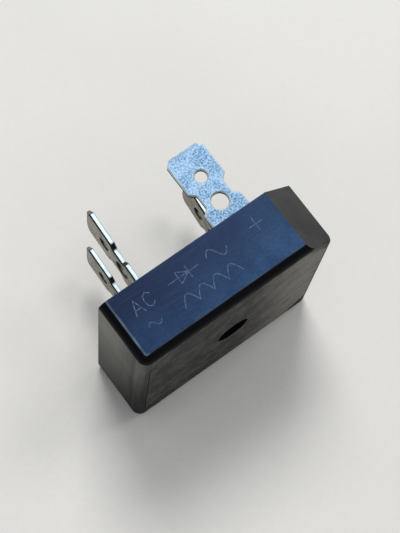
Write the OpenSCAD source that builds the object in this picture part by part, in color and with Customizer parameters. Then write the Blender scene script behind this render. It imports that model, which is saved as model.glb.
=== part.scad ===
// Bridge rectifier: a square moulded block with a base plate let into its mounting face,
// a screw hole through its middle and four flat push-on terminals.
// X runs along the block, Y from the mounting face to the terminals, and Z is up
// as the block stands on one side face. The origin is on the screw hole's axis,
// where it meets the mounting face.

/* [Body] */
// Side of the square body
body_w = 31.6; // [28.4:0.1:36]
// Depth of the body, from the mounting face to the terminal side
body_d = 9.9; // [8.5:0.1:14]
// Rounding of the moulded edges
edge_r = 1.35; // [0.9:0.05:1.7]
// Leg of the cut that marks the plus corner
corner_cut = 4.85; // [3.5:0.05:5.5]
// Wall of the case
wall_t = 2; // [1.7:0.1:2.3]
// How far the filling stays below the case's rim
fill_recess = 0.3; // [0.1:0.05:0.6]

/* [Base plate] */
// Thickness of the base plate
plate_t = 1.5; // [1:0.1:2]
// Rim of the case between the base plate and the side face
plate_rim = 1.1; // [0.9:0.05:1.3]
// Leg of the cut at each of the plate's corners
plate_cut = 3.55; // [3:0.05:4]
// Gap between the plate's edge and the case
plate_gap = 0.12; // [0.05:0.01:0.2]

/* [Screw hole] */
// Diameter of the screw hole
hole_d = 5; // [4:0.1:5.6]
// Wall of the sleeve round the screw hole
sleeve_t = 1.5; // [1:0.1:1.8]
// How far the sleeve's foot flange stands out
flange_w = 0.8; // [0.4:0.1:1]
// Thickness of the sleeve's foot flange
flange_t = 0.5; // [0.3:0.05:0.6]

/* [Blades] */
// Width of a terminal blade
blade_w = 6.3; // [4.8:0.1:6.5]
// Thickness of a terminal blade
blade_t = 0.8; // [0.5:0.05:0.9]
// How far a blade stands out of the body
blade_reach = 13.05; // [12:0.05:18]
// Bevel along a blade's edges and holes
blade_bevel = 0.2; // [0.05:0.01:0.22]
// Leg of the cut at the corners of a blade's tip
tip_cut = 0.9; // [0.5:0.05:1.2]
// Length of the slope that thins a blade's tip
tip_slope = 0.6; // [0.3:0.05:1]
// How much that slope takes off each side of the tip
tip_thin = 0.2; // [0.05:0.05:0.2]
// From the tip to the start of the side notches
notch_from_tip = 5.8; // [5.5:0.05:6.2]
// Length of a side notch at its mouth
notch_len = 3.65; // [3:0.05:4]
// Depth of a side notch
notch_depth = 0.92; // [0.5:0.01:1]
// Length over which a notch runs in to its full depth
notch_run = 0.8; // [0.6:0.05:1]
// Rounding of a notch's corners
notch_r = 0.45; // [0.3:0.05:0.6]
// Diameter of the small wire hole
small_hole_d = 1.8; // [1:0.1:2]
// From the tip to the small hole's centre
small_hole_from_tip = 4.5; // [4:0.1:4.8]
// Diameter of the large wire hole
large_hole_d = 2.5; // [2:0.1:2.8]
// From the tip to the large hole's centre
large_hole_from_tip = 8.85; // [8.4:0.05:9.4]

/* [Terminal places] */
// From the left side face to the two blades beside it
left_blade_in = 7.1; // [6.9:0.1:7.8]
// From the right side face to the AC blade beside it
right_blade_in = 7.85; // [6.9:0.05:8.2]
// From the upper or lower side face to the middle of each upright blade
blade_in_z = 8.3; // [8.1:0.05:8.6]
// From the right side face to the middle of the plus blade
plus_blade_in_x = 8.3; // [8:0.1:8.6]
// From the upper side face to the plus blade
plus_blade_in_z = 7.35; // [7.2:0.05:8.2]
// Length of a terminal's foot
foot_len = 2.9; // [2.4:0.1:3]
// Inner radius of the bend between foot and blade
bend_r = 0.5; // [0.3:0.05:0.6]
// How far the left AC blade is bent over towards the right, in degrees
ac_left_lean = 2.3; // [-5:0.1:5]
// How far the minus blade is bent over towards the right, in degrees
minus_lean = 1.6; // [-5:0.1:5]
// How far the right AC blade is bent over towards the right, in degrees
ac_right_lean = 5; // [-5:0.1:6]

/* [Circuit] */
// Thickness of the ceramic insulator
insulator_t = 0.65; // [0.4:0.05:0.8]
// Gap between the insulator and the wall of the case
insulator_clear = 1.5; // [1.1:0.1:1.6]
// How far the insulator reaches past the lead plates
insulator_over = 0.6; // [0.2:0.1:0.8]
// Gap between the insulator and the sleeve's flange
insulator_gap = 0.3; // [0.1:0.05:0.5]
// Leg of the cut at the insulator's corners
insulator_cut = 2.2; // [1.8:0.1:2.4]
// Thickness of the lead plates and straps
lead_t = 0.8; // [0.4:0.05:0.9]
// Width of the lead plates and straps
lead_w = 6; // [5.4:0.1:6.2]
// Leg of the cut at a lead plate's outer corner
lead_cut = 1.5; // [0.8:0.1:1.6]
// Side of a square diode die
die_w = 4.2; // [3:0.1:4.8]
// Thickness of a diode die
die_t = 0.3; // [0.2:0.05:0.5]
// How far a lead reaches past the dice it carries
die_margin = 0.8; // [0.4:0.1:1]
// Thickness of a solder layer
solder_t = 0.1; // [0.05:0.01:0.2]
// How far a foot's solder stays in from the foot's edge
solder_in = 0.25; // [0.1:0.05:0.5]

/* [Hidden] */
$fn = 64;
ROOT2 = sqrt(2);

// A little extra length on every cutting tool, so that no cut ends on a face
cut_past = 1;
// Points along each rounded corner of a blade's outline
corner_steps = 5;
// How far the knuckle of a bent blade stays inside the blade's faces
knuckle_in = 0.03;

// Plan sizes, each half of a width
body_half = body_w / 2;
cavity_half = body_half - wall_t;
plate_half = body_half - plate_rim - plate_gap;
sleeve_r = hole_d / 2 + sleeve_t;
insulator_half = cavity_half - insulator_clear;
insulator_hole_r = sleeve_r + flange_w + insulator_gap;
lead_out = insulator_half - insulator_over;
lead_in = lead_out - lead_w;
lead_mid = lead_in + lead_w / 2;
lead_past = die_w / 2 + die_margin;

// The cavity's corners keep the wall behind the plus corner, and a ledge behind the plate
ledge_w = wall_t - plate_rim;
plus_cavity_cut = corner_cut - wall_t * (2 - ROOT2);
plate_cavity_cut = plate_cut + plate_gap * (2 - ROOT2) - ledge_w * (2 - ROOT2);
cavity_cuts = [max(plus_cavity_cut, plate_cavity_cut), for (i = [1:3]) plate_cavity_cut];

// Heights along Y, each layer on the one before
insulator_y = plate_t;
lead_y = insulator_y + insulator_t;
lower_solder_y = lead_y + lead_t;
die_y = lower_solder_y + solder_t;
upper_solder_y = die_y + die_t;
strap_y = upper_solder_y + solder_t;
fill_y = body_d - fill_recess;
tip_y = body_d + blade_reach;

// The undersides of the feet on the lead plates and on the straps
plate_foot_y = lead_y + lead_t + solder_t;
strap_foot_y = strap_y + lead_t + solder_t;

// Plan places of the blades
left_blade_x = left_blade_in - body_half;
right_blade_x = body_half - right_blade_in;
blade_z = body_half - blade_in_z;
plus_blade_x = body_half - plus_blade_in_x;
plus_blade_z = body_half - plus_blade_in_z;

// Where each terminal stands, its turn about Y, its foot's underside and its blade's lean
PLUS = [[plus_blade_x, plus_blade_z], 0, plate_foot_y, 0];
MINUS = [[left_blade_x, -blade_z], -90, plate_foot_y, -minus_lean];
AC_LEFT = [[left_blade_x, blade_z], -90, strap_foot_y, -ac_left_lean];
AC_RIGHT = [[right_blade_x, -blade_z], 90, strap_foot_y, ac_right_lean];

// The quarter turn of each lead: one leg of its L along the top, one down the right
PLUS_TURN = 0;
AC_RIGHT_TURN = 90;
MINUS_TURN = 180;
AC_LEFT_TURN = 270;

// Plan places of the dice, one in the middle of each side
DICE = [for (turn = [0:90:270]) lead_mid * [sin(turn), cos(turn)]];

function unit(v) = v / norm(v);

// A square of half side h round the origin, each corner cut by the leg in cuts,
// which start at the upper right and go round anticlockwise
function cut_square(h, cuts) = [
    for (i = [0:3])
        let (sx = [1, -1, -1, 1][i], sz = [1, 1, -1, -1][i], c = cuts[i])
        let (first = sx * sz > 0 ? [h, h - c] : [h - c, h])
        let (last = sx * sz > 0 ? [h - c, h] : [h, h - c])
        each c > 0 ? [[sx * first.x, sz * first.y], [sx * last.x, sz * last.y]] : [[sx * h, sz * h]]
];

// The points of an arc of radius r that rounds corner p between its neighbours a and c
function corner_arc(a, p, c, r) =
    let (u = unit(a - p), v = unit(c - p), half = acos(u * v) / 2)
    let (middle = p + unit(u + v) * r / sin(half), start = p + u * r / tan(half) - middle)
    let (turn = sign(cross(p - a, c - p)) * (180 - 2 * half))
    [for (i = [0:corner_steps])
        let (s = turn * i / corner_steps)
        middle + [start.x * cos(s) - start.y * sin(s), start.x * sin(s) + start.y * cos(s)]];

// Corner p of an anticlockwise outline, moved in by d from both of its edges
function inset_corner(a, p, c, d) =
    let (n1 = unit([a.y - p.y, p.x - a.x]), n2 = unit([p.y - c.y, c.x - p.x]))
    p + d * (n1 + n2) / (1 + n1 * n2);

// The right half of a blade's outline, from depth low up to the tip, with each corner's radius
function blade_side(low) =
    let (edge = blade_w / 2, top = tip_y - notch_from_tip, bottom = top - notch_len)
    [
        [edge, low, 0],
        [edge, bottom, notch_r],
        [edge - notch_depth, bottom + notch_run, notch_r],
        [edge - notch_depth, top - notch_run, notch_r],
        [edge, top, notch_r],
        [edge, tip_y - tip_cut, notch_r],
        [edge - tip_cut, tip_y, 0]
    ];

// A blade's whole outline moved in by d, so that two such outlines match point for point
function blade_outline(d) =
    let (right = blade_side(body_d - d), n = len(right))
    let (left = [for (i = [n - 1:-1:0]) [-right[i].x, right[i].y, right[i].z]])
    let (all = concat(right, left), m = 2 * n)
    let (flat = [for (p = all) [p.x, p.y]])
    let (moved = [for (i = [0:m - 1]) inset_corner(flat[(i + m - 1) % m], flat[i], flat[(i + 1) % m], d)])
    [for (i = [0:m - 1])
        let (a = moved[(i + m - 1) % m], p = moved[i], c = moved[(i + 1) % m])
        let (hollow = cross(p - a, c - p) < 0, r = all[i].z)
        each r > 0 ? corner_arc(a, p, c, hollow ? r + d : r - d) : [p]];

// Draws a plan figure, x across and z up, as a solid from one depth to another
module layer(from, to) {
    translate([0, to, 0])
        rotate([90, 0, 0])
            linear_extrude(to - from)
                children();
}

// A round bar of radius r from plan point a to plan point b, at depth y
module bar(a, b, r, y) {
    along = b - a;
    translate([a.x, y, a.y])
        rotate([0, -atan2(along.y, along.x), 0])
            rotate([0, 90, 0])
                cylinder(h = norm(along), r = r);
}

// The outline round some corner points, at distance r from them
module rounded_figure(points, r) {
    n = len(points);
    polygon(points);
    for (i = [0:n - 1]) {
        a = points[i];
        b = points[(i + 1) % n];
        out = r * unit([b.y - a.y, a.x - b.x]);
        polygon([a, a + out, b + out, b]);
        translate(a)
            circle(r);
    }
}

// A square block with rounded corners, a rounded mounting side and a flat terminal side
module rounded_block() {
    points = cut_square(body_half - edge_r, [0, 0, 0, 0]);
    n = len(points);
    layer(0, body_d)
        polygon(points);
    layer(edge_r, body_d)
        rounded_figure(points, edge_r);
    for (i = [0:n - 1]) {
        bar(points[i], points[(i + 1) % n], edge_r, edge_r);
        translate([points[i].x, edge_r, points[i].y])
            sphere(edge_r);
    }
}

// The outer form of the body: the block with its plus corner cut off flat
module body_form() {
    outside = body_half + cut_past;
    near = body_half - corner_cut - cut_past;
    difference() {
        rounded_block();
        layer(-cut_past, body_d + cut_past)
            polygon([[near, outside], [outside, near], [outside, outside]]);
    }
}

// The moulded case: a frame with a ledge, open towards both faces
module case() {
    opening_half = plate_half + plate_gap;
    opening_cut = plate_cut + plate_gap * (2 - ROOT2);
    color("midnightblue")
        difference() {
            body_form();
            layer(0, body_d + cut_past)
                polygon(cut_square(cavity_half, cavity_cuts));
            layer(-cut_past, plate_t)
                polygon(cut_square(opening_half, [for (i = [0:3]) opening_cut]));
        }
}

// The base plate that carries the heat away, with cut corners
module base_plate() {
    color("dimgray")
        layer(0, plate_t)
            difference() {
                polygon(cut_square(plate_half, [for (i = [0:3]) plate_cut]));
                circle(d = hole_d);
            }
}

// The sleeve's outside: a tube with a flange at its foot
module sleeve_form() {
    layer(plate_t, body_d)
        circle(sleeve_r);
    layer(plate_t, plate_t + flange_t)
        circle(sleeve_r + flange_w);
}

// The flanged sleeve that keeps the filling out of the screw hole
module screw_sleeve() {
    color("black")
        difference() {
            sleeve_form();
            layer(plate_t - cut_past, body_d + cut_past)
                circle(d = hole_d);
        }
}

// The ceramic sheet that insulates the circuit from the base plate
module ceramic_insulator() {
    color("white")
        layer(insulator_y, insulator_y + insulator_t)
            difference() {
                polygon(cut_square(insulator_half, [for (i = [0:3]) insulator_cut]));
                circle(insulator_hole_r);
            }
}

// One L-shaped copper lead, whose two ends lie over or under a die each
module lead(turn, y) {
    color("peru")
        layer(y, y + lead_t)
            rotate(-turn)
                polygon([
                    [-lead_past, lead_in],
                    [lead_in, lead_in],
                    [lead_in, -lead_past],
                    [lead_out, -lead_past],
                    [lead_out, lead_out - lead_cut],
                    [lead_out - lead_cut, lead_out],
                    [-lead_past, lead_out]
                ]);
}

// The flat of a blade with bevelled edges, from the case's rim to the tip
module bevelled_blade() {
    full = blade_outline(0);
    small = blade_outline(blade_bevel);
    n = len(full);
    side_z = blade_t / 2;
    flat_z = side_z - blade_bevel;
    rings = [[small, -side_z], [full, -flat_z], [full, flat_z], [small, side_z]];
    points = [for (ring = rings) for (p = ring[0]) [p.x, p.y, ring[1]]];
    sides = [
        for (r = [0:len(rings) - 2])
            for (i = [0:n - 1])
                let (j = (i + 1) % n)
                [r * n + i, (r + 1) * n + i, (r + 1) * n + j, r * n + j]
    ];
    // Each face is a stack of strips from the right edge to the left one
    under = [for (i = [0:n / 2 - 2]) [i, i + 1, n - 2 - i, n - 1 - i]];
    over = [for (f = under) [for (k = [3:-1:0]) 3 * n + f[k]]];
    polyhedron(points, concat(sides, under, over));
}

// Draws its children at a blade's upper face, or mirrored at its lower one
module at_face(side) {
    mirror([0, 0, side < 0 ? 1 : 0])
        translate([0, 0, blade_t / 2])
            children();
}

// A hole through a blade, with the blade's bevel at both faces
module blade_hole(d, from_tip) {
    translate([0, tip_y - from_tip, 0]) {
        cylinder(h = blade_t + 2 * cut_past, d = d, center = true);
        for (side = [-1, 1])
            at_face(side)
                translate([0, 0, -blade_bevel])
                    cylinder(h = 2 * blade_bevel, d1 = d, d2 = d + 4 * blade_bevel);
    }
}

// The part of a blade that stands out of the body, with its holes and its thinned tip
module free_blade() {
    difference() {
        bevelled_blade();
        blade_hole(small_hole_d, small_hole_from_tip);
        blade_hole(large_hole_d, large_hole_from_tip);
        for (side = [-1, 1])
            at_face(side)
                translate([-blade_w, tip_y - tip_slope, 0])
                    rotate([-atan2(tip_thin, tip_slope), 0, 0])
                        cube([2 * blade_w, 2 * tip_slope, blade_t]);
    }
}

// The buried part of a terminal: its foot, the bend and the shank up to the case's rim
module terminal_root(foot_y) {
    half = blade_t / 2;
    edge = blade_w / 2;
    bend_y = foot_y + blade_t + bend_r;
    layer(bend_y, body_d)
        for (side = [-1, 1])
            polygon([
                [-edge, 0],
                [-edge, side * (half - blade_bevel)],
                [blade_bevel - edge, side * half],
                [edge - blade_bevel, side * half],
                [edge, side * (half - blade_bevel)],
                [edge, 0]
            ]);
    translate([-edge, bend_y, half + bend_r])
        rotate([0, 90, 0])
            rotate([0, 0, -90])
                rotate_extrude(angle = 90)
                    translate([bend_r, 0])
                        square([blade_t, blade_w]);
    translate([-edge, foot_y, half + bend_r])
        cube([blade_w, blade_t, foot_len - blade_t - bend_r]);
}

// One terminal standing at the origin: the root, a knuckle at the rim and the leaning blade
module terminal_form(foot_y, lean) {
    terminal_root(foot_y);
    translate([0, body_d, 0]) {
        rotate([0, 90, 0])
            cylinder(h = blade_w - 2 * blade_bevel, r = blade_t / 2 - knuckle_in, center = true);
        rotate([lean, 0, 0])
            translate([0, -body_d, 0])
                free_blade();
    }
}

// Puts its children where a terminal stands
module at_terminal(place) {
    translate([place[0].x, 0, place[0].y])
        rotate([0, place[1], 0])
            children();
}

// A tinned terminal at its place
module terminal(place) {
    color("lightsteelblue")
        at_terminal(place)
            terminal_form(place[2], place[3]);
}

// The solder under a terminal's foot
module foot_solder(place) {
    start_z = blade_t / 2 + bend_r + solder_in;
    color("silver")
        at_terminal(place)
            translate([-blade_w / 2 + solder_in, place[2] - solder_t, start_z])
                cube([blade_w - 2 * solder_in, solder_t, foot_len - blade_t - bend_r - 2 * solder_in]);
}

// A square pad of the die's plan, centred on die number i
module die_pad(i, y, t) {
    layer(y, y + t)
        translate(DICE[i])
            square(die_w, center = true);
}

module diode_die(i) {
    color("slategray")
        die_pad(i, die_y, die_t);
}

module lower_solder(i) {
    color("silver")
        die_pad(i, lower_solder_y, solder_t);
}

module upper_solder(i) {
    color("silver")
        die_pad(i, upper_solder_y, solder_t);
}

// All that lies in the filling
module buried_pieces() {
    ceramic_insulator();
    sleeve_form();
    lead(PLUS_TURN, lead_y);
    lead(MINUS_TURN, lead_y);
    lead(AC_LEFT_TURN, strap_y);
    lead(AC_RIGHT_TURN, strap_y);
    for (place = [PLUS, MINUS, AC_LEFT, AC_RIGHT]) {
        at_terminal(place)
            terminal_root(place[2]);
        foot_solder(place);
    }
    for (i = [0:3])
        die_pad(i, lower_solder_y, die_t + 2 * solder_t);
}

// The filling, poured round everything inside the case
module potting() {
    color("dimgray")
        difference() {
            layer(plate_t, fill_y)
                polygon(cut_square(cavity_half, cavity_cuts));
            buried_pieces();
        }
}

case();
base_plate();
screw_sleeve();
ceramic_insulator();
lead(PLUS_TURN, lead_y);  // plus_lead_plate
lead(MINUS_TURN, lead_y);  // minus_lead_plate
lead(AC_LEFT_TURN, strap_y);  // ac_left_strap
lead(AC_RIGHT_TURN, strap_y);  // ac_right_strap
terminal(PLUS);  // plus_terminal
terminal(MINUS);  // minus_terminal
terminal(AC_LEFT);  // ac_left_terminal
terminal(AC_RIGHT);  // ac_right_terminal
diode_die(0);  // diode_die_1
diode_die(1);  // diode_die_2
diode_die(2);  // diode_die_3
diode_die(3);  // diode_die_4
lower_solder(0);  // lower_solder_1
lower_solder(1);  // lower_solder_2
lower_solder(2);  // lower_solder_3
lower_solder(3);  // lower_solder_4
upper_solder(0);  // upper_solder_1
upper_solder(1);  // upper_solder_2
upper_solder(2);  // upper_solder_3
upper_solder(3);  // upper_solder_4
foot_solder(PLUS);  // plus_foot_solder
foot_solder(MINUS);  // minus_foot_solder
foot_solder(AC_LEFT);  // ac_left_foot_solder
foot_solder(AC_RIGHT);  // ac_right_foot_solder
potting();
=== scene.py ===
# %% [markdown]
# # A bridge rectifier on a pale table
#
# A bridge rectifier turns alternating current into direct current. This one is a square
# block of dark moulded plastic with a metal base plate let into one face. A screw goes
# through its middle and holds the plate against a heat sink. Four flat tinned blades stand
# out of the opposite face, and push-on connectors slide over them. Three blades stand on
# edge. The fourth, the plus blade, is turned by a quarter and lies flat, so that nobody
# mixes them up. The block has one cut corner at the plus blade for the same reason.
#
# The solid shapes come ready made, each in its own node. This script gives them their
# finishes, and sets up the table, the light and the camera.
#
# The frame is in metres. X runs along the block, Y from the mounting face to the blades
# and Z up. The block stands on one of its side faces.

import math

import bpy
from mathutils import Matrix, Vector


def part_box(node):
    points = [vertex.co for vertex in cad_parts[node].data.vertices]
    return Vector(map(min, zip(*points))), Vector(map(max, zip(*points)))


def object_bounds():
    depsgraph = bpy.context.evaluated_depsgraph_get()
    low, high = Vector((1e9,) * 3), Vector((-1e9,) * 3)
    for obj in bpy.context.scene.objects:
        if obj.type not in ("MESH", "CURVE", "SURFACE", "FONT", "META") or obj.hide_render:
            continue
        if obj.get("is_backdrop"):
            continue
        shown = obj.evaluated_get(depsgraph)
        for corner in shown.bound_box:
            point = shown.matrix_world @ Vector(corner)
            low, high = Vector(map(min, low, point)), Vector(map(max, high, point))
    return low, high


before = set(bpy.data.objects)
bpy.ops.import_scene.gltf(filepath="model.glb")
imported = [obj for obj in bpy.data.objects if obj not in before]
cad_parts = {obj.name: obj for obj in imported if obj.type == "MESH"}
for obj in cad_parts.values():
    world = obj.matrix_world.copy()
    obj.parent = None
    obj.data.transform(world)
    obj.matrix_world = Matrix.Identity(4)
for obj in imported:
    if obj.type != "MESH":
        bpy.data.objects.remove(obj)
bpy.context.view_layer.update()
MM = 0.001


def in_mm(lengths):
    """Lengths in millimetres, rounded for printing."""
    return [round(length / MM, 2) for length in lengths]


case_low, case_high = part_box("case")
marked_z = case_high.z
floor_z = case_low.z
print("case from", in_mm(case_low), "to", in_mm(case_high), "mm")

# %% [markdown]
# ## The camera
#
# The block is seen from high above its left end, with a small roll to the right. A long
# lens keeps the edges of the block nearly parallel. A camera can be dragged into place and
# turned by three angles, but the angles are hard to guess and to read. So this one is
# placed by three things that are easy to change: where it stands, what it looks at, and
# how far it is rolled.

# %% Place the camera
CAMERA_PLACE = Vector((-45.01, -31.08, 189.69)) * MM
CAMERA_TARGET = Vector((1.80, 10.06, 0)) * MM
CAMERA_ROLL = math.radians(12.583)
# The lens and the sensor's width are in millimetres of the camera itself
LENS = 96.12
SENSOR_WIDTH = 36
NEAREST = 10 * MM
FURTHEST = 10

camera_data = bpy.data.cameras.new("camera")
camera_data.lens = LENS
camera_data.sensor_width = SENSOR_WIDTH
camera_data.clip_start = NEAREST
camera_data.clip_end = FURTHEST
camera = bpy.data.objects.new("camera", camera_data)
look = (CAMERA_TARGET - CAMERA_PLACE).to_track_quat("-Z", "Y").to_matrix().to_4x4()
camera.matrix_world = Matrix.Translation(CAMERA_PLACE) @ look @ Matrix.Rotation(CAMERA_ROLL, 4, "Z")
bpy.context.scene.collection.objects.link(camera)
bpy.context.scene.camera = camera
print("camera is", round((CAMERA_TARGET - CAMERA_PLACE).length / MM), "mm from its target")

# %% [markdown]
# ## Words for building materials
#
# Every finish below is a small network of nodes. Short functions keep the networks
# readable. Some make a step: add puts in a node and plugs in its inputs, calc and vector
# do sums, step turns one range of values into another, and blend and tint lay one colour
# over another. The others start a node group, put it to use, and tell where a point is.

# %% Node helpers
def add(tree, kind, inputs=None, **settings):
    """Adds a node; inputs maps a socket to a value or to the socket that feeds it."""
    node = tree.nodes.new(kind)
    for name, value in settings.items():
        setattr(node, name, value)
    for key, value in (inputs or {}).items():
        if isinstance(value, bpy.types.NodeSocket):
            tree.links.new(value, node.inputs[key])
        else:
            node.inputs[key].default_value = value
    return node


def calc(tree, operation, *values):
    """One step of arithmetic."""
    return add(tree, "ShaderNodeMath", dict(enumerate(values)), operation=operation).outputs[0]


def step(tree, value, low, high, out_low=0.0, out_high=1.0):
    """Turns low..high into out_low..out_high, with soft ends that hold outside the range."""
    inputs = {"Value": value, "From Min": low, "From Max": high, "To Min": out_low, "To Max": out_high}
    return add(tree, "ShaderNodeMapRange", inputs, interpolation_type="SMOOTHSTEP").outputs[0]


def blend(tree, factor, a, b):
    """Mixes colour b over colour a."""
    return add(tree, "ShaderNodeMix", {0: factor, 6: a, 7: b}, data_type="RGBA").outputs[2]


def tint(tree, colour, mask, share, over):
    """Lays the colour over on top where the mask is, as strongly as its share says."""
    return blend(tree, calc(tree, "MULTIPLY", mask, share), colour, over)


def vector(tree, operation, *values):
    """One step of arithmetic on vectors."""
    node = add(tree, "ShaderNodeVectorMath", dict(enumerate(values)), operation=operation)
    return node.outputs["Value" if operation in ("DOT_PRODUCT", "LENGTH", "DISTANCE") else "Vector"]


def split(tree, value):
    """The X, Y and Z of a vector."""
    return add(tree, "ShaderNodeSeparateXYZ", {0: value}).outputs


def within(tree, distance, size, solid, gone):
    """1 up to solid times a size, fading to 0 at gone times that size."""
    return step(tree, distance, calc(tree, "MULTIPLY", size, gone), calc(tree, "MULTIPLY", size, solid))


def rgb(red, green, blue):
    """A colour from its three levels out of 255, as a screen shows them."""
    def level(v):
        v /= 255
        return v / 12.92 if v <= 0.04045 else ((v + 0.055) / 1.055) ** 2.4
    return (level(red), level(green), level(blue), 1)


def group(name, inputs, outputs):
    """An empty node group with named inputs and outputs, and its two end nodes."""
    tree = bpy.data.node_groups.new(name, "ShaderNodeTree")
    for label, kind, default in inputs:
        socket = tree.interface.new_socket(name=label, in_out="INPUT", socket_type="NodeSocket" + kind)
        socket.default_value = default
    for label, kind in outputs:
        tree.interface.new_socket(name=label, in_out="OUTPUT", socket_type="NodeSocket" + kind)
    given = tree.nodes.new("NodeGroupInput").outputs
    result = tree.nodes.new("NodeGroupOutput").inputs
    return tree, given, result


def use(tree, group_tree, **inputs):
    """Puts a group to use; an input named Half_width stands for the socket Half width."""
    plain = {name.replace("_", " "): value for name, value in inputs.items()}
    return add(tree, "ShaderNodeGroup", plain, node_tree=group_tree).outputs


def place(tree):
    """Where on the object a point is, in metres in the shared frame."""
    return add(tree, "ShaderNodeTexCoord").outputs["Object"]


print("helpers are ready")

# %% [markdown]
# ## Effects that several finishes share
#
# - **Mottle** is a slow drift of tone, as on every moulded or plated surface. It is noise
#   at one size with a finer one inside it.
# - **Edge wear and light** finds the edges of a solid. It compares the true normal with one
#   that is rounded over, and they differ only beside an edge. Noise breaks the line up. The
#   mask serves for real wear and also for painted highlights and painted shade along edges.
# - **Scratches** is noise drawn out along one direction, cut off so high that only
#   separate hairlines are left.
# - **Specks** are small round spots at random places: dust, pits and stains.
# - **Facing** says how far a surface faces right, back or up, each from -1 to 1. The flat
#   of a side, a rounding and a bevel are told apart by it.
#
# Noise is made from the place on the object, so it runs on round corners and needs no
# unwrapping.

# %% Mottle
mottle, given, result = group(
    "mottle",
    [("Size", "Float", 0.003), ("Stretch", "Vector", (1, 1, 1)), ("Seed", "Float", 0)],
    [("Value", "Float")],
)
scaled = vector(mottle, "DIVIDE", vector(mottle, "MULTIPLY", place(mottle), given["Stretch"]), given["Size"])
noise = add(
    mottle, "ShaderNodeTexNoise",
    {"Vector": scaled, "W": given["Seed"], "Scale": 1, "Detail": 4, "Roughness": 0.55},
    noise_dimensions="4D",
)
mottle.links.new(step(mottle, noise.outputs[0], 0.3, 0.7), result["Value"])
print("mottle has", len(mottle.nodes), "nodes")

# %% Edge wear and light
edge_wear_and_light, given, result = group(
    "edge wear and light",
    [("Radius", "Float", 0.0003), ("Breakup", "Float", 0.5), ("Grain", "Float", 0.001)],
    [("Mask", "Float")],
)
rounded = add(edge_wear_and_light, "ShaderNodeBevel", {"Radius": given["Radius"]}, samples=6).outputs[0]
true_normal = add(edge_wear_and_light, "ShaderNodeNewGeometry").outputs["Normal"]
turned = calc(edge_wear_and_light, "SUBTRACT", 1, vector(edge_wear_and_light, "DOT_PRODUCT", rounded, true_normal))
grain = use(edge_wear_and_light, mottle, Size=given["Grain"], Seed=3)["Value"]
kept = calc(edge_wear_and_light, "SUBTRACT", 1, calc(edge_wear_and_light, "MULTIPLY", given["Breakup"], grain))
mask = calc(edge_wear_and_light, "MULTIPLY", step(edge_wear_and_light, turned, 0.005, 0.08), kept)
edge_wear_and_light.links.new(mask, result["Mask"])
print("edge wear and light has", len(edge_wear_and_light.nodes), "nodes")

# %% Scratches
scratches, given, result = group(
    "scratches",
    [("Turn", "Float", 0), ("Width", "Float", 0.00008), ("Length", "Float", 0.004), ("Amount", "Float", 0.5),
     ("Seed", "Float", 0)],
    [("Mask", "Float")],
)
turned_place = add(
    scratches, "ShaderNodeVectorRotate", {"Vector": place(scratches), "Angle": given["Turn"]},
    rotation_type="Z_AXIS",
).outputs[0]
spacing = add(
    scratches, "ShaderNodeCombineXYZ", {0: given["Length"], 1: given["Width"], 2: given["Length"]},
).outputs[0]
drawn_out = vector(scratches, "DIVIDE", turned_place, spacing)
lines = add(
    scratches, "ShaderNodeTexNoise",
    {"Vector": drawn_out, "W": given["Seed"], "Scale": 1, "Detail": 1},
    noise_dimensions="4D",
).outputs[0]
patches = use(scratches, mottle, Size=0.005, Seed=given["Seed"])["Value"]
level = calc(scratches, "SUBTRACT", 0.8, calc(scratches, "MULTIPLY", given["Amount"], 0.25))
hairlines = step(scratches, calc(scratches, "SUBTRACT", lines, level), 0, 0.06)
scratches.links.new(calc(scratches, "MULTIPLY", hairlines, patches), result["Mask"])
print("scratches has", len(scratches.nodes), "nodes")

# %% Specks
specks, given, result = group(
    "specks",
    [("Spacing", "Float", 0.002), ("Size", "Float", 0.0001), ("Seed", "Float", 0)],
    [("Mask", "Float")],
)
cells = add(
    specks, "ShaderNodeTexVoronoi",
    {"Vector": vector(specks, "DIVIDE", place(specks), given["Spacing"]), "W": given["Seed"], "Scale": 1},
    voronoi_dimensions="4D",
)
away = calc(specks, "MULTIPLY", cells.outputs["Distance"], given["Spacing"])
specks.links.new(within(specks, away, given["Size"], 0.6, 1.3), result["Mask"])
print("specks has", len(specks.nodes), "nodes")

# %% Facing
facing, given, result = group("facing", [], [("Right", "Float"), ("Back", "Float"), ("Up", "Float")])
normal = split(facing, add(facing, "ShaderNodeNewGeometry").outputs["Normal"])
for axis, name in (("X", "Right"), ("Y", "Back"), ("Z", "Up")):
    facing.links.new(normal[axis], result[name])
print("facing has", len(facing.nodes), "nodes")

# %% [markdown]
# ## Marks on the side of the case
#
# The marks are faint hairlines, printed on the side that faces up. A stroke is the set of
# points close to a straight line from one end to the other. A wave is the set of points
# close to a sine curve. The side carries only what such a part needs for its job: the
# letters AC by the AC blade, a plus sign by the plus blade, and between them the sign of
# a diode, an alternating wave and the humps of the rectified wave.
#
# Marks can be cut as thin solids or wrapped on as a picture. Thin solids would flicker on
# the flat and a picture blurs up close. A sum on the place of each point gives a line
# that is sharp at any distance, and the ink can wear with the grain below it.

# %% Strokes and waves
# A line is full up to the first share of its half width and gone at the second
LINE_SOLID = 0.6
LINE_GONE = 1.6

stroke, given, result = group(
    "stroke",
    [("Start", "Vector", (0, 0, 0)), ("End", "Vector", (0, 0, 0)), ("Half width", "Float", 0.0001)],
    [("Mask", "Float")],
)
flat = vector(stroke, "MULTIPLY", place(stroke), (1, 1, 0))
reach = vector(stroke, "SUBTRACT", given["End"], given["Start"])
offset = vector(stroke, "SUBTRACT", flat, given["Start"])
covered = vector(stroke, "DOT_PRODUCT", offset, reach)
whole = vector(stroke, "DOT_PRODUCT", reach, reach)
share = add(stroke, "ShaderNodeClamp", {0: calc(stroke, "DIVIDE", covered, whole)}).outputs[0]
along = add(stroke, "ShaderNodeVectorMath", {0: reach, "Scale": share}, operation="SCALE").outputs[0]
distance = vector(stroke, "DISTANCE", offset, along)
line = within(stroke, distance, given["Half width"], LINE_SOLID, LINE_GONE)
stroke.links.new(line, result["Mask"])

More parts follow.
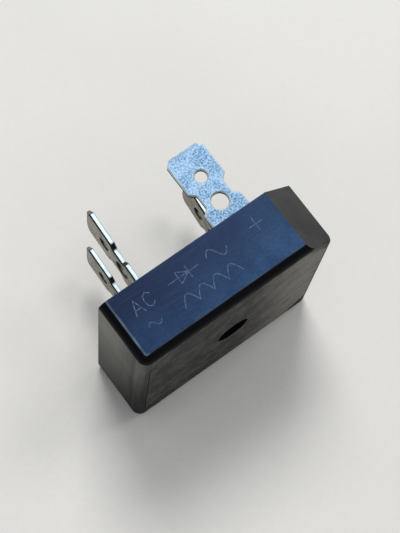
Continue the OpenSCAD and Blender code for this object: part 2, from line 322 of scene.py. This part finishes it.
wave, given, result = group(
    "wave",
    [("Start", "Vector", (0, 0, 0)), ("Length", "Float", 0.002), ("Periods", "Float", 1),
     ("Height", "Float", 0.001), ("Rectified", "Float", 0), ("Half width", "Float", 0.0001)],
    [("Mask", "Float")],
)
offset = split(wave, vector(wave, "SUBTRACT", place(wave), given["Start"]))
pitch = calc(wave, "DIVIDE", calc(wave, "MULTIPLY", given["Periods"], 2 * math.pi), given["Length"])
phase = calc(wave, "MULTIPLY", offset["X"], pitch)
sine = calc(wave, "SINE", phase)
hump = calc(wave, "ABSOLUTE", sine)
swing = add(wave, "ShaderNodeMix", {0: given["Rectified"], 2: sine, 3: hump}).outputs[0]
above = calc(wave, "SUBTRACT", offset["Y"], calc(wave, "MULTIPLY", swing, given["Height"]))
slope = calc(wave, "MULTIPLY", calc(wave, "MULTIPLY", calc(wave, "COSINE", phase), pitch), given["Height"])
slant = calc(wave, "SQRT", calc(wave, "ADD", 1, calc(wave, "MULTIPLY", slope, slope)))
distance = calc(wave, "DIVIDE", calc(wave, "ABSOLUTE", above), slant)
line = within(wave, distance, given["Half width"], LINE_SOLID, LINE_GONE)
begun = calc(wave, "GREATER_THAN", offset["X"], 0)
not_over = calc(wave, "LESS_THAN", offset["X"], given["Length"])
inside = calc(wave, "MULTIPLY", begun, not_over)
wave.links.new(calc(wave, "MULTIPLY", line, inside), result["Mask"])

# Each line joins its points, in millimetres along the side and up it
LETTER_A = [[(-12.6, 5.9), (-11.9, 8.0), (-11.2, 5.9)], [(-12.35, 6.6), (-11.45, 6.6)]]
LETTER_C = [[(-9.5, 7.6), (-10.0, 8.0), (-10.5, 7.7), (-10.7, 6.95), (-10.5, 6.2), (-10.0, 5.9), (-9.5, 6.3)]]
PLUS_SIGN = [[(6.3, 7.1), (8.3, 7.1)], [(7.3, 6.1), (7.3, 8.1)]]
DIODE_SIGN = [
    [(-6.9, 7.0), (-2.1, 7.0)],
    [(-5.3, 6.1), (-5.3, 7.9), (-3.7, 7.0), (-5.3, 6.1)],
    [(-3.7, 6.1), (-3.7, 7.9)],
]
# Each wave: its start, its length, its periods, its height, and 1 if it is rectified
WAVES = [
    ((-0.8, 7.0), 3.2, 1, 0.9, 0),
    ((-6.9, 3.1), 9.2, 2, 1.6, 1),
    ((-12.2, 3.9), 2.0, 1, 0.4, 0),
]
HALF_WIDTH = 0.055 * MM


def marks(tree):
    """The mask of all marks on the side."""
    masks = []
    for line in LETTER_A + LETTER_C + PLUS_SIGN + DIODE_SIGN:
        for (x0, y0), (x1, y1) in zip(line, line[1:]):
            ends = {"Start": (x0 * MM, y0 * MM, 0), "End": (x1 * MM, y1 * MM, 0)}
            masks.append(use(tree, stroke, Half_width=HALF_WIDTH, **ends)["Mask"])
    for (x, y), length, periods, height, rectified in WAVES:
        masks.append(use(
            tree, wave, Start=(x * MM, y * MM, 0), Length=length * MM, Periods=periods,
            Height=height * MM, Rectified=rectified, Half_width=HALF_WIDTH,
        )["Mask"])
    every = masks[0]
    for mask in masks[1:]:
        every = calc(tree, "MAXIMUM", every, mask)
    return every


print("stroke has", len(stroke.nodes), "nodes and wave", len(wave.nodes))

# %% [markdown]
# ## Materials
#
# One function starts each material and returns its network and its Principled shader.
# Another one joins what was worked out to the shader.

# %% Material helpers
def start_material(name):
    """A new material, its network and its main shader."""
    material = bpy.data.materials.new(name)
    material.use_nodes = True
    tree = material.node_tree
    return material, tree, tree.nodes["Principled BSDF"]


def feed(tree, shader, height, bump, depth, **inputs):
    """Joins values to the shader; height is what the bump is made from."""
    for name, value in inputs.items():
        socket = shader.inputs[name.replace("_", " ")]
        if isinstance(value, bpy.types.NodeSocket):
            tree.links.new(value, socket)
        else:
            socket.default_value = value
    bumped = add(tree, "ShaderNodeBump", {"Height": height, "Strength": bump, "Distance": depth})
    tree.links.new(bumped.outputs[0], shader.inputs["Normal"])


finishes = {}
print("materials start here")

# %% [markdown]
# ### The moulded case
#
# The case is moulded plastic, nearly black in the mass. Most of the tone on its surfaces is
# painted light, laid into the colour.
#
# - The side with the marks carries a painted blue reflection of a blue sky. It is paler, a
#   painted sheen, towards the plus corner and the mounting side, and a hairline of painted
#   highlight lies where the flat ends.
# - The rounded edges have been polished by handling. They show the bare dark plastic,
#   with a few pale specks caught on it.
# - The other sides carry a painted grey reflection of the pale table, with painted shade
#   towards the bottom and the mounting side, and soft upright streaks from the mould.
# - The cut corner is an even dark grey, also a painted reflection.
#
# Each surface could have a material of its own, but then the tones would meet in a hard
# line. One material with a soft mask for each surface lets them run into each other. The
# masks come from the way a surface faces and from where it is.

# %% Case: where each surface is
def weigh(tree, first, *others):
    """The product of several masks."""
    for other in others:
        first = calc(tree, "MULTIPLY", first, other)
    return first


def without(tree, mask):
    """The inverse of a mask."""
    return calc(tree, "SUBTRACT", 1, mask)


# How far up or right a surface faces where each kind begins, and where it is fully itself
LEVEL = (0.965, 0.995)
NEARLY_LEVEL = (0.955, 0.98)
NOT_QUITE_LEVEL = (0.9995, 0.99)
TURNED_UP = (0.08, 0.3)
CORNER_RIGHT = (0.4, 0.66)
CORNER_UP = (0.3, 0.5)

material, tree, shader = start_material("case_moulding")
here = split(tree, place(tree))
turn = use(tree, facing)
on_top = step(tree, here["Z"], marked_z - 0.2 * MM, marked_z - 0.05 * MM)
flat_top = weigh(tree, on_top, step(tree, turn["Up"], *LEVEL))
bending = weigh(tree, step(tree, turn["Up"], *NEARLY_LEVEL), step(tree, turn["Up"], *NOT_QUITE_LEVEL))
flat_end = weigh(tree, on_top, bending)
cut_corner = weigh(tree, step(tree, turn["Right"], *CORNER_RIGHT), step(tree, turn["Up"], *CORNER_UP))
rounding = weigh(tree, step(tree, turn["Up"], *TURNED_UP), without(tree, cut_corner), without(tree, flat_top))
print("telling the surfaces of the case apart takes", len(tree.nodes), "nodes")

# %% Case: what varies over it
cloud = use(tree, mottle, Size=5 * MM, Seed=1)["Value"]
grain = use(tree, mottle, Size=0.3 * MM, Seed=2)["Value"]
streaks = use(tree, mottle, Size=1.3 * MM, Stretch=(1, 1, 0.05), Seed=13)["Value"]
streaks = weigh(tree, streaks, step(tree, here["Y"], 6 * MM, 1 * MM, 0.1, 1))
hairlines = use(
    tree, scratches, Turn=math.radians(2), Width=0.09 * MM, Length=5 * MM, Amount=0.75, Seed=4,
)["Mask"]
dust = use(tree, specks, Spacing=2.6 * MM, Size=0.06 * MM, Seed=5)["Mask"]
caught = use(tree, specks, Spacing=0.9 * MM, Size=0.1 * MM, Seed=14)["Mask"]
edge = use(tree, edge_wear_and_light, Radius=0.2 * MM, Breakup=0.8, Grain=1.2 * MM)["Mask"]
print("with streaks, hairlines, dust and worn edges it is", len(tree.nodes), "nodes")

# %% Case: the painted blue reflection on the marked flat
# The deep and pale blue are a painted reflection of a blue sky; the grain tone darkens it at random
SKY_REFLECTION_DEEP = rgb(8, 31, 68)
SKY_REFLECTION_PALE = rgb(50, 86, 128)
SKY_REFLECTION_GRAIN = rgb(10, 32, 64)
HAIRLINE = rgb(95, 125, 160)
INK = rgb(115, 140, 172)
# The colour of a painted highlight along the back edge of the flat
BACK_EDGE_HIGHLIGHT = rgb(105, 135, 165)

# Painted sheen: the flat is paler towards the plus corner and the mounting side
paler = calc(
    tree, "ADD",
    step(tree, here["X"], -16 * MM, 14 * MM, 0, 0.45),
    step(tree, here["Y"], 8 * MM, 1.5 * MM, 0, 0.45),
)
paler = weigh(tree, paler, step(tree, cloud, 0, 1, 0.6, 1.1))
reflection_and_marks = blend(tree, paler, SKY_REFLECTION_DEEP, SKY_REFLECTION_PALE)
reflection_and_marks = tint(tree, reflection_and_marks, grain, 0.35, SKY_REFLECTION_GRAIN)
reflection_and_marks = tint(tree, reflection_and_marks, hairlines, 0.25, HAIRLINE)
ink = weigh(tree, marks(tree), step(tree, grain, 0.1, 0.9, 0.15, 0.6))
reflection_and_marks = blend(tree, ink, reflection_and_marks, INK)
# Painted highlight: a pale hairline along the back edge of the flat
back_edge_highlight = weigh(tree, edge, step(tree, here["Y"], 9.5 * MM, 9.8 * MM))
reflection_and_marks = tint(tree, reflection_and_marks, back_edge_highlight, 0.5, BACK_EDGE_HIGHLIGHT)
print("with the bloom and the marks it is", len(tree.nodes), "nodes")

# %% Case: the other surfaces
# The dark and pale grey are a painted reflection of the pale table on the sides without marks
TABLE_REFLECTION_DARK = rgb(44, 44, 42)
TABLE_REFLECTION_PALE = rgb(110, 110, 104)
SIDE_CLOUD = rgb(40, 40, 38)
STREAK = rgb(14, 14, 13)
SIDE_EDGE = rgb(100, 98, 90)
POLISHED = rgb(0, 2, 5)
CAUGHT_SPECK = rgb(60, 76, 88)
# The cut corner's dark and pale grey are a painted reflection too
CORNER_REFLECTION_DARK = rgb(50, 51, 50)
CORNER_REFLECTION_PALE = rgb(66, 67, 65)
CORNER_GRAIN = rgb(36, 37, 37)

# Painted shade: the grey reflection darkens towards the bottom and the mounting side
reflection_fade = calc(
    tree, "ADD",
    step(tree, here["Z"], -12 * MM, 14 * MM, 0, 0.65),
    step(tree, here["Y"], 1 * MM, 9 * MM, 0, 0.35),
)
sides_reflection_and_wear = blend(tree, reflection_fade, TABLE_REFLECTION_DARK, TABLE_REFLECTION_PALE)
sides_reflection_and_wear = tint(tree, sides_reflection_and_wear, cloud, 0.3, SIDE_CLOUD)
sides_reflection_and_wear = tint(tree, sides_reflection_and_wear, streaks, 0.7, STREAK)
sides_reflection_and_wear = tint(tree, sides_reflection_and_wear, edge, 0.35, SIDE_EDGE)
polished = blend(tree, weigh(tree, caught, step(tree, cloud, 0.4, 0.8)), POLISHED, CAUGHT_SPECK)
# Painted reflection on the cut corner, with a real grain
corner = blend(tree, cloud, CORNER_REFLECTION_DARK, CORNER_REFLECTION_PALE)
corner = tint(tree, corner, grain, 0.3, CORNER_GRAIN)
print("with the other surfaces it is", len(tree.nodes), "nodes")

# %% Case: put together
# The colour of a painted highlight where the marked flat ends
FLAT_END_HIGHLIGHT = rgb(110, 132, 150)
DUST = rgb(180, 185, 185)

colour = blend(tree, rounding, sides_reflection_and_wear, polished)
colour = blend(tree, cut_corner, colour, corner)
colour = blend(tree, flat_top, colour, reflection_and_marks)
# Painted highlight: a pale hairline where the flat ends, at the left end
left_end = step(tree, here["X"], -14 * MM, -14.3 * MM, 0.15, 1)
flat_end_highlight = weigh(tree, flat_end, left_end, step(tree, cloud, 0.2, 0.7, 0.3, 0.8))
colour = blend(tree, flat_end_highlight, colour, FLAT_END_HIGHLIGHT)
colour = tint(tree, colour, dust, 0.5, DUST)
roughness = calc(
    tree, "ADD",
    step(tree, reflection_fade, 0, 1, 0.6, 0.4),
    calc(tree, "MULTIPLY", calc(tree, "ADD", hairlines, streaks), 0.1),
)
height = calc(tree, "SUBTRACT", calc(tree, "MULTIPLY", grain, 0.4), calc(tree, "MULTIPLY", hairlines, 0.5))
feed(
    tree, shader, height, bump=0.12, depth=0.02 * MM,
    Base_Color=colour, Roughness=roughness, Specular_IOR_Level=0.1,
)
finishes["case_moulding"] = material
print("case has", len(tree.nodes), "nodes")

# %% [markdown]
# ### The base plate
#
# The plate is a flat slab of metal with a dull grey coat. Its face is blotchy from
# handling, with a few darker smudges, and over that lies a painted reflection of the
# table: pale on the plus side, dark on the other side where it mirrors the shadow.
# Painted shade lies in the seam round it, and no light gets far into the screw hole.
#
# Noise alone would spread the smudges evenly, which handling never does. So noise at two
# sizes gives the blotches, and the few smudges are soft spots put where fingers left them.

# %% Base plate
# Each has a centre, counted to the right and up from the screw hole, and a radius, in mm
SMUDGES = [((10.4, -6.3), 1.1), ((14.0, 1.3), 0.8), ((6.5, -1.5), 1.6)]
RUB_MARK = ((-1.9, -1.8), 1.3)
HOLE_R = 2.5 * MM

PLATE_DARK = rgb(24, 24, 23)
PLATE_PALE = rgb(126, 123, 115)
PLATE_GRAIN = rgb(30, 30, 29)
SMUDGE = rgb(34, 34, 32)
RUBBED_METAL = rgb(110, 108, 100)
SEAM_SHADE = rgb(6, 7, 7)
IN_THE_DARK = rgb(1, 1, 1)

material, tree, shader = start_material("base_plate_metal")
here = split(tree, place(tree))
cloud = use(tree, mottle, Size=3.5 * MM, Seed=6)["Value"]
blotch = use(tree, mottle, Size=1.1 * MM, Seed=15)["Value"]
grain = use(tree, mottle, Size=0.25 * MM, Seed=7)["Value"]


def spot(centre, radius):
    """A soft round spot on the plate's face."""
    centre = (centre[0] * MM, 0, centre[1] * MM)
    away = vector(tree, "DISTANCE", vector(tree, "MULTIPLY", place(tree), (1, 0, 1)), centre)
    return step(tree, away, radius * MM, 0.2 * radius * MM)


# Painted reflection of the table: pale towards the plus side, dark where it mirrors the shadow; the two
# noises add real blotches
tone = step(tree, here["X"], 1 * MM, 12 * MM, 0.05, 0.85)
for drift in (step(tree, cloud, 0, 1, -0.1, 0.2), step(tree, blotch, 0, 1, -0.12, 0.12)):
    tone = calc(tree, "ADD", tone, drift)
colour = blend(tree, tone, PLATE_DARK, PLATE_PALE)
colour = tint(tree, colour, grain, 0.3, PLATE_GRAIN)
for smudge in SMUDGES:
    colour = tint(tree, colour, spot(*smudge), step(tree, blotch, 0, 1, 0.2, 0.8), SMUDGE)
colour = tint(tree, colour, spot(*RUB_MARK), 0.3, RUBBED_METAL)
# Painted shade in the seam round the plate
seam_shade = use(tree, edge_wear_and_light, Radius=0.2 * MM, Breakup=0.3, Grain=1 * MM)["Mask"]
colour = tint(tree, colour, seam_shade, 0.8, SEAM_SHADE)
from_axis = vector(tree, "LENGTH", vector(tree, "MULTIPLY", place(tree), (1, 0, 1)))
in_hole = step(tree, from_axis, HOLE_R + 0.1 * MM, HOLE_R + 0.02 * MM)
colour = blend(tree, in_hole, colour, IN_THE_DARK)
roughness = calc(tree, "ADD", step(tree, grain, 0, 1, 0.5, 0.62), calc(tree, "MULTIPLY", in_hole, 0.4))
feed(
    tree, shader, grain, bump=0.25, depth=0.03 * MM,
    Base_Color=colour, Roughness=roughness, Specular_IOR_Level=0.15,
)
finishes["base_plate_metal"] = material
print("base plate has", len(tree.nodes), "nodes")

# %% [markdown]
# ### The tinned blades
#
# The blades are stamped from strip and plated with tin. Each blade has three kinds of
# surface, told apart by the way they face.
#
# - The wide faces have a fine spangle of darker grains. Their tone is a painted
#   reflection: a steely blue from a blue sky where a face lies level, and a warm grey
#   from the table where it stands upright.
# - On the plus blade painted highlights lie along the bevels at the edges and round the holes.
# - The cut sides carry a painted highlight where they face up, with grey streaks from the
#   shears, and painted shade elsewhere: nearly black where they face along the blade, as
#   in the shoulders of the notches, dark in the wire holes, and a darker warm grey on the
#   tip slopes of the upright blades.
#
# The blades differ in little but their tones and the way they lie, so one function makes
# both finishes. Polished tin would be plain metal in the shader. This tin has dulled, so
# it is only part metal and fairly rough, and keeps its colour in any light.

# %% Blades
minus_low, minus_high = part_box("minus_terminal")
BLADE_Z = abs(minus_low.z + minus_high.z) / 2
TIP_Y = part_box("plus_terminal")[1].y
# How far the wire holes reach to each side of the middle of a blade
HOLES_REACH = 1.5 * MM
# How squarely a surface faces one way where a wide face begins, and where it fully is one
WIDE_FACE = (0.85, 0.98)
# A painted highlight on cut sides that face up, with real streaks from the shears on it
RIM_HIGHLIGHT = rgb(222, 240, 244)
RIM_STREAK = rgb(130, 155, 168)
# The colour of a painted highlight on the bevels of the plus blade
BEVEL_HIGHLIGHT = rgb(215, 236, 242)
# The colour of painted shade on the tip slopes of the upright blades
TIP_SHADE = rgb(126, 124, 114)
print("the middle of a blade and the tips, in mm:", in_mm([BLADE_Z, TIP_Y]))


def blade_finish(name, level):
    """The finish of a blade whose wide faces lie level, or stand upright."""
    material, tree, shader = start_material(name)
    turn = use(tree, facing)
    across, upward = [calc(tree, "ABSOLUTE", turn[axis]) for axis in ("Right", "Up")]
    lengthways = calc(tree, "ABSOLUTE", turn["Back"])
    here = split(tree, place(tree))
    cloud = use(tree, mottle, Size=1.6 * MM, Seed=9)["Value"]
    grain = use(tree, mottle, Size=0.26 * MM, Seed=10)["Value"]
    pits = use(tree, specks, Spacing=0.6 * MM, Size=0.08 * MM, Seed=11)["Mask"]
    shear = use(tree, mottle, Size=0.25 * MM, Stretch=(1, 0.12, 1), Seed=16)["Value"]
    edge = use(tree, edge_wear_and_light, Radius=0.25 * MM, Breakup=0.3, Grain=0.6 * MM)["Mask"]
    if level:
        # Painted reflection: level faces take a steely blue from a blue sky
        light, mid, dark = rgb(150, 182, 208), rgb(130, 164, 194), rgb(70, 102, 140)
        wide = step(tree, upward, *WIDE_FACE)
    else:
        # Painted reflection: upright faces take a warm grey from the table
        light, mid, dark = rgb(186, 183, 170), rgb(158, 155, 142), rgb(100, 98, 88)
        wide = step(tree, across, *WIDE_FACE)
    colour = blend(tree, cloud, light, mid)
    spangle = weigh(tree, step(tree, grain, 0.3, 0.8), step(tree, cloud, 0.1, 0.9, 0.25, 0.75))
    colour = blend(tree, spangle, colour, dark)
    colour = tint(tree, colour, pits, 0.35, dark)
    # Painted highlight on cut sides that face up, broken by real shear streaks
    rim_highlight = tint(tree, RIM_HIGHLIGHT, shear, 0.45, RIM_STREAK)
    if level:
        # Painted shade: cut sides of the level blade that don't face up are nearly black
        side = blend(tree, step(tree, upward, 0.25, 0.5), rgb(30, 36, 38), rim_highlight)
        # Painted highlight along the bevels of the plus blade
        colour = tint(tree, colour, edge, 0.5, BEVEL_HIGHLIGHT)
    else:
        # Painted shade: cut sides that lean left or face along the blade, as in the notch shoulders, are
        # nearly black
        roll_over = step(tree, turn["Right"], -0.35, -0.15)
        side = blend(tree, weigh(tree, step(tree, turn["Up"], 0.5, 0.65), roll_over), rgb(36, 44, 45), rim_highlight)
        side = blend(tree, step(tree, lengthways, 0.45, 0.7), side, rgb(28, 34, 34))
        # Painted shade in the wire holes: dark walls, lighter grey where a wall faces up
        off_axis = calc(tree, "ABSOLUTE", here["Z"])
        off_middle = calc(tree, "ABSOLUTE", calc(tree, "SUBTRACT", off_axis, BLADE_Z))
        in_holes = step(tree, off_middle, HOLES_REACH + 0.2 * MM, HOLES_REACH)
        bore = blend(tree, step(tree, turn["Up"], 0.6, 0.9), rgb(40, 40, 37), rgb(120, 120, 116))
        side = blend(tree, in_holes, side, bore)
        # Painted shade: the tip slopes of the upright blades are a darker warm grey
        at_tip = step(tree, here["Y"], TIP_Y - 0.75 * MM, TIP_Y - 0.6 * MM)
        tip = weigh(tree, at_tip, step(tree, turn["Back"], 0.1, 0.25))
        colour = blend(tree, tip, colour, TIP_SHADE)
        side = blend(tree, tip, side, TIP_SHADE)
    colour = blend(tree, wide, side, colour)
    roughness = step(tree, grain, 0, 1, 0.5, 0.62)
    feed(
        tree, shader, grain, bump=0.25, depth=0.02 * MM,
        Base_Color=colour, Roughness=roughness, Metallic=0.6,
    )
    finishes[name] = material
    print(name, "has", len(tree.nodes), "nodes")


blade_finish("tinned_level", True)
blade_finish("tinned_upright", False)

# %% [markdown]
# ### The sleeve, the filling and the pieces inside it
#
# The sleeve round the screw hole is dull black plastic. The filling is a dark resin that
# is poured in from the blades' side, so its surface is smooth with a slight ripple. The
# ceramic, the copper leads, the silicon dice and the solder are all sealed in it. They
# show only if the block is taken apart, and each has its own simple but real finish. They
# share one recipe of two tones, a fine grain and worn edges, so a function holds it.

# %% Quieter finishes
def quiet_finish(name, dark, light, worn, size, seed, roughness, metallic, bump=0.2, specular=0.5):
    """A two-tone mottled finish with a fine grain and paler edges."""
    material, tree, shader = start_material(name)
    cloud = use(tree, mottle, Size=size, Seed=seed)["Value"]
    grain = use(tree, mottle, Size=size / 8, Seed=seed + 1)["Value"]
    edge = use(tree, edge_wear_and_light, Radius=0.2 * MM, Breakup=0.6, Grain=size / 3)["Mask"]
    colour = blend(tree, cloud, dark, light)
    colour = tint(tree, colour, grain, 0.25, dark)
    colour = tint(tree, colour, edge, 0.5, worn)
    rough = step(tree, grain, 0, 1, roughness - 0.06, roughness + 0.08)
    feed(
        tree, shader, grain, bump=bump, depth=0.03 * MM,
        Base_Color=colour, Roughness=rough, Metallic=metallic, Specular_IOR_Level=specular,
    )
    finishes[name] = material


quiet_finish(
    "sleeve_moulding", rgb(3, 3, 3), rgb(8, 8, 9), rgb(24, 24, 24), 2 * MM, 20, 0.85, 0, specular=0.05,
)
quiet_finish("potting_resin", rgb(22, 24, 26), rgb(38, 40, 42), rgb(70, 72, 72), 4 * MM, 24, 0.3, 0, bump=0.1)
quiet_finish("alumina", rgb(225, 222, 212), rgb(240, 238, 230), rgb(250, 250, 248), 3 * MM, 28, 0.55, 0)
quiet_finish("copper_lead", rgb(165, 95, 65), rgb(205, 130, 95), rgb(235, 175, 140), 2 * MM, 32, 0.35, 1)
quiet_finish("silicon", rgb(60, 64, 74), rgb(84, 88, 98), rgb(150, 154, 165), 1 * MM, 36, 0.25, 0.6)
quiet_finish("solder", rgb(150, 152, 155), rgb(190, 192, 194), rgb(225, 227, 228), 1 * MM, 40, 0.4, 1)
print("finishes:", sorted(finishes))

# %% [markdown]
# ## Which solid gets which finish
#
# Most solids have a finish of their own, or share one with those of their kind. The four
# blades are of one material, but the plus blade lies level and so carries other painted
# reflections and highlights.

# %% Hand out the finishes
LOOKS = {
    "case": "case_moulding",
    "base_plate": "base_plate_metal",
    "screw_sleeve": "sleeve_moulding",
    "ceramic_insulator": "alumina",
    "potting": "potting_resin",
}
for name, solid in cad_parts.items():
    if name.endswith("_terminal"):
        look_name = "tinned_level" if name.startswith("plus") else "tinned_upright"
    elif name.endswith(("_lead_plate", "_strap")):
        look_name = "copper_lead"
    elif name.startswith("diode_die"):
        look_name = "silicon"
    elif "solder" in name:
        look_name = "solder"
    else:
        look_name = LOOKS[name]
    solid.data.materials.clear()
    solid.data.materials.append(finishes[look_name])
print(len(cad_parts), "solids have their finish")

# %% [markdown]
# ## The table and the light
#
# The table is a wide sheet of pale, slightly warm card. One large soft lamp stands high on
# the right behind the blades, and a weaker one high on the right. Each throws a short soft
# shadow, one in front of the mounting face and one beside the left end. An even pale sky
# fills the rest. A picture of a real sky would light it too, but two lamps are easier to
# steer. Together they light a flat surface about as brightly as its colour says.

# %% Table
TABLE_HALF = 1.5
CARD_DARK = rgb(226, 224, 219)
CARD_PALE = rgb(232, 230, 225)
CARD_GRAIN = rgb(215, 213, 208)

table_mesh = bpy.data.meshes.new("table")
signs = ((-1, -1), (1, -1), (1, 1), (-1, 1))
corners = [(x * TABLE_HALF, y * TABLE_HALF, floor_z) for x, y in signs]
table_mesh.from_pydata(corners, [], [(0, 1, 2, 3)])
table = bpy.data.objects.new("table", table_mesh)
bpy.context.scene.collection.objects.link(table)
table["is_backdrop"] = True

material, tree, shader = start_material("table_card")
cloud = use(tree, mottle, Size=60 * MM, Seed=50)["Value"]
grain = use(tree, mottle, Size=0.8 * MM, Seed=51)["Value"]
colour = blend(tree, cloud, CARD_DARK, CARD_PALE)
colour = tint(tree, colour, grain, 0.15, CARD_GRAIN)
feed(tree, shader, grain, bump=0.05, depth=0.05 * MM, Base_Color=colour, Roughness=0.6)
table_mesh.materials.append(material)
print("the table is", 2 * TABLE_HALF, "m wide")

# %% Light
LAMP_DISTANCE = 1.2
SKY_COLOUR = rgb(244, 247, 252)
SKY_STRENGTH = 0.42


def soft_lamp(name, direction, size, energy):
    """A square lamp that looks at the origin from a direction."""
    data = bpy.data.lights.new(name, "AREA")
    data.size = size
    data.energy = energy
    lamp = bpy.data.objects.new(name, data)
    where = Vector(direction).normalized() * LAMP_DISTANCE
    lamp.matrix_world = Matrix.Translation(where) @ (-where).to_track_quat("-Z", "Y").to_matrix().to_4x4()
    bpy.context.scene.collection.objects.link(lamp)
    print(name, "is at", [round(v, 2) for v in where])


soft_lamp("back_lamp", (0.3, 0.55, 1), size=0.45, energy=8)
soft_lamp("side_lamp", (0.62, -0.05, 1), size=0.35, energy=2.2)

world = bpy.data.worlds.new("sky")
world.use_nodes = True
sky = world.node_tree.nodes["Background"].inputs
sky["Color"].default_value = SKY_COLOUR
sky["Strength"].default_value = SKY_STRENGTH
bpy.context.scene.world = world
bpy.context.scene.view_settings.view_transform = "Standard"
print("sky is set")

# %% [markdown]
# ## Finish
#
# Nothing was added round the solids, so the object is as large now as when it was loaded.

# %% Sizes and the last line
size_at_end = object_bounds()
print("size now", in_mm(b - a for a, b in zip(*size_at_end)), "mm")
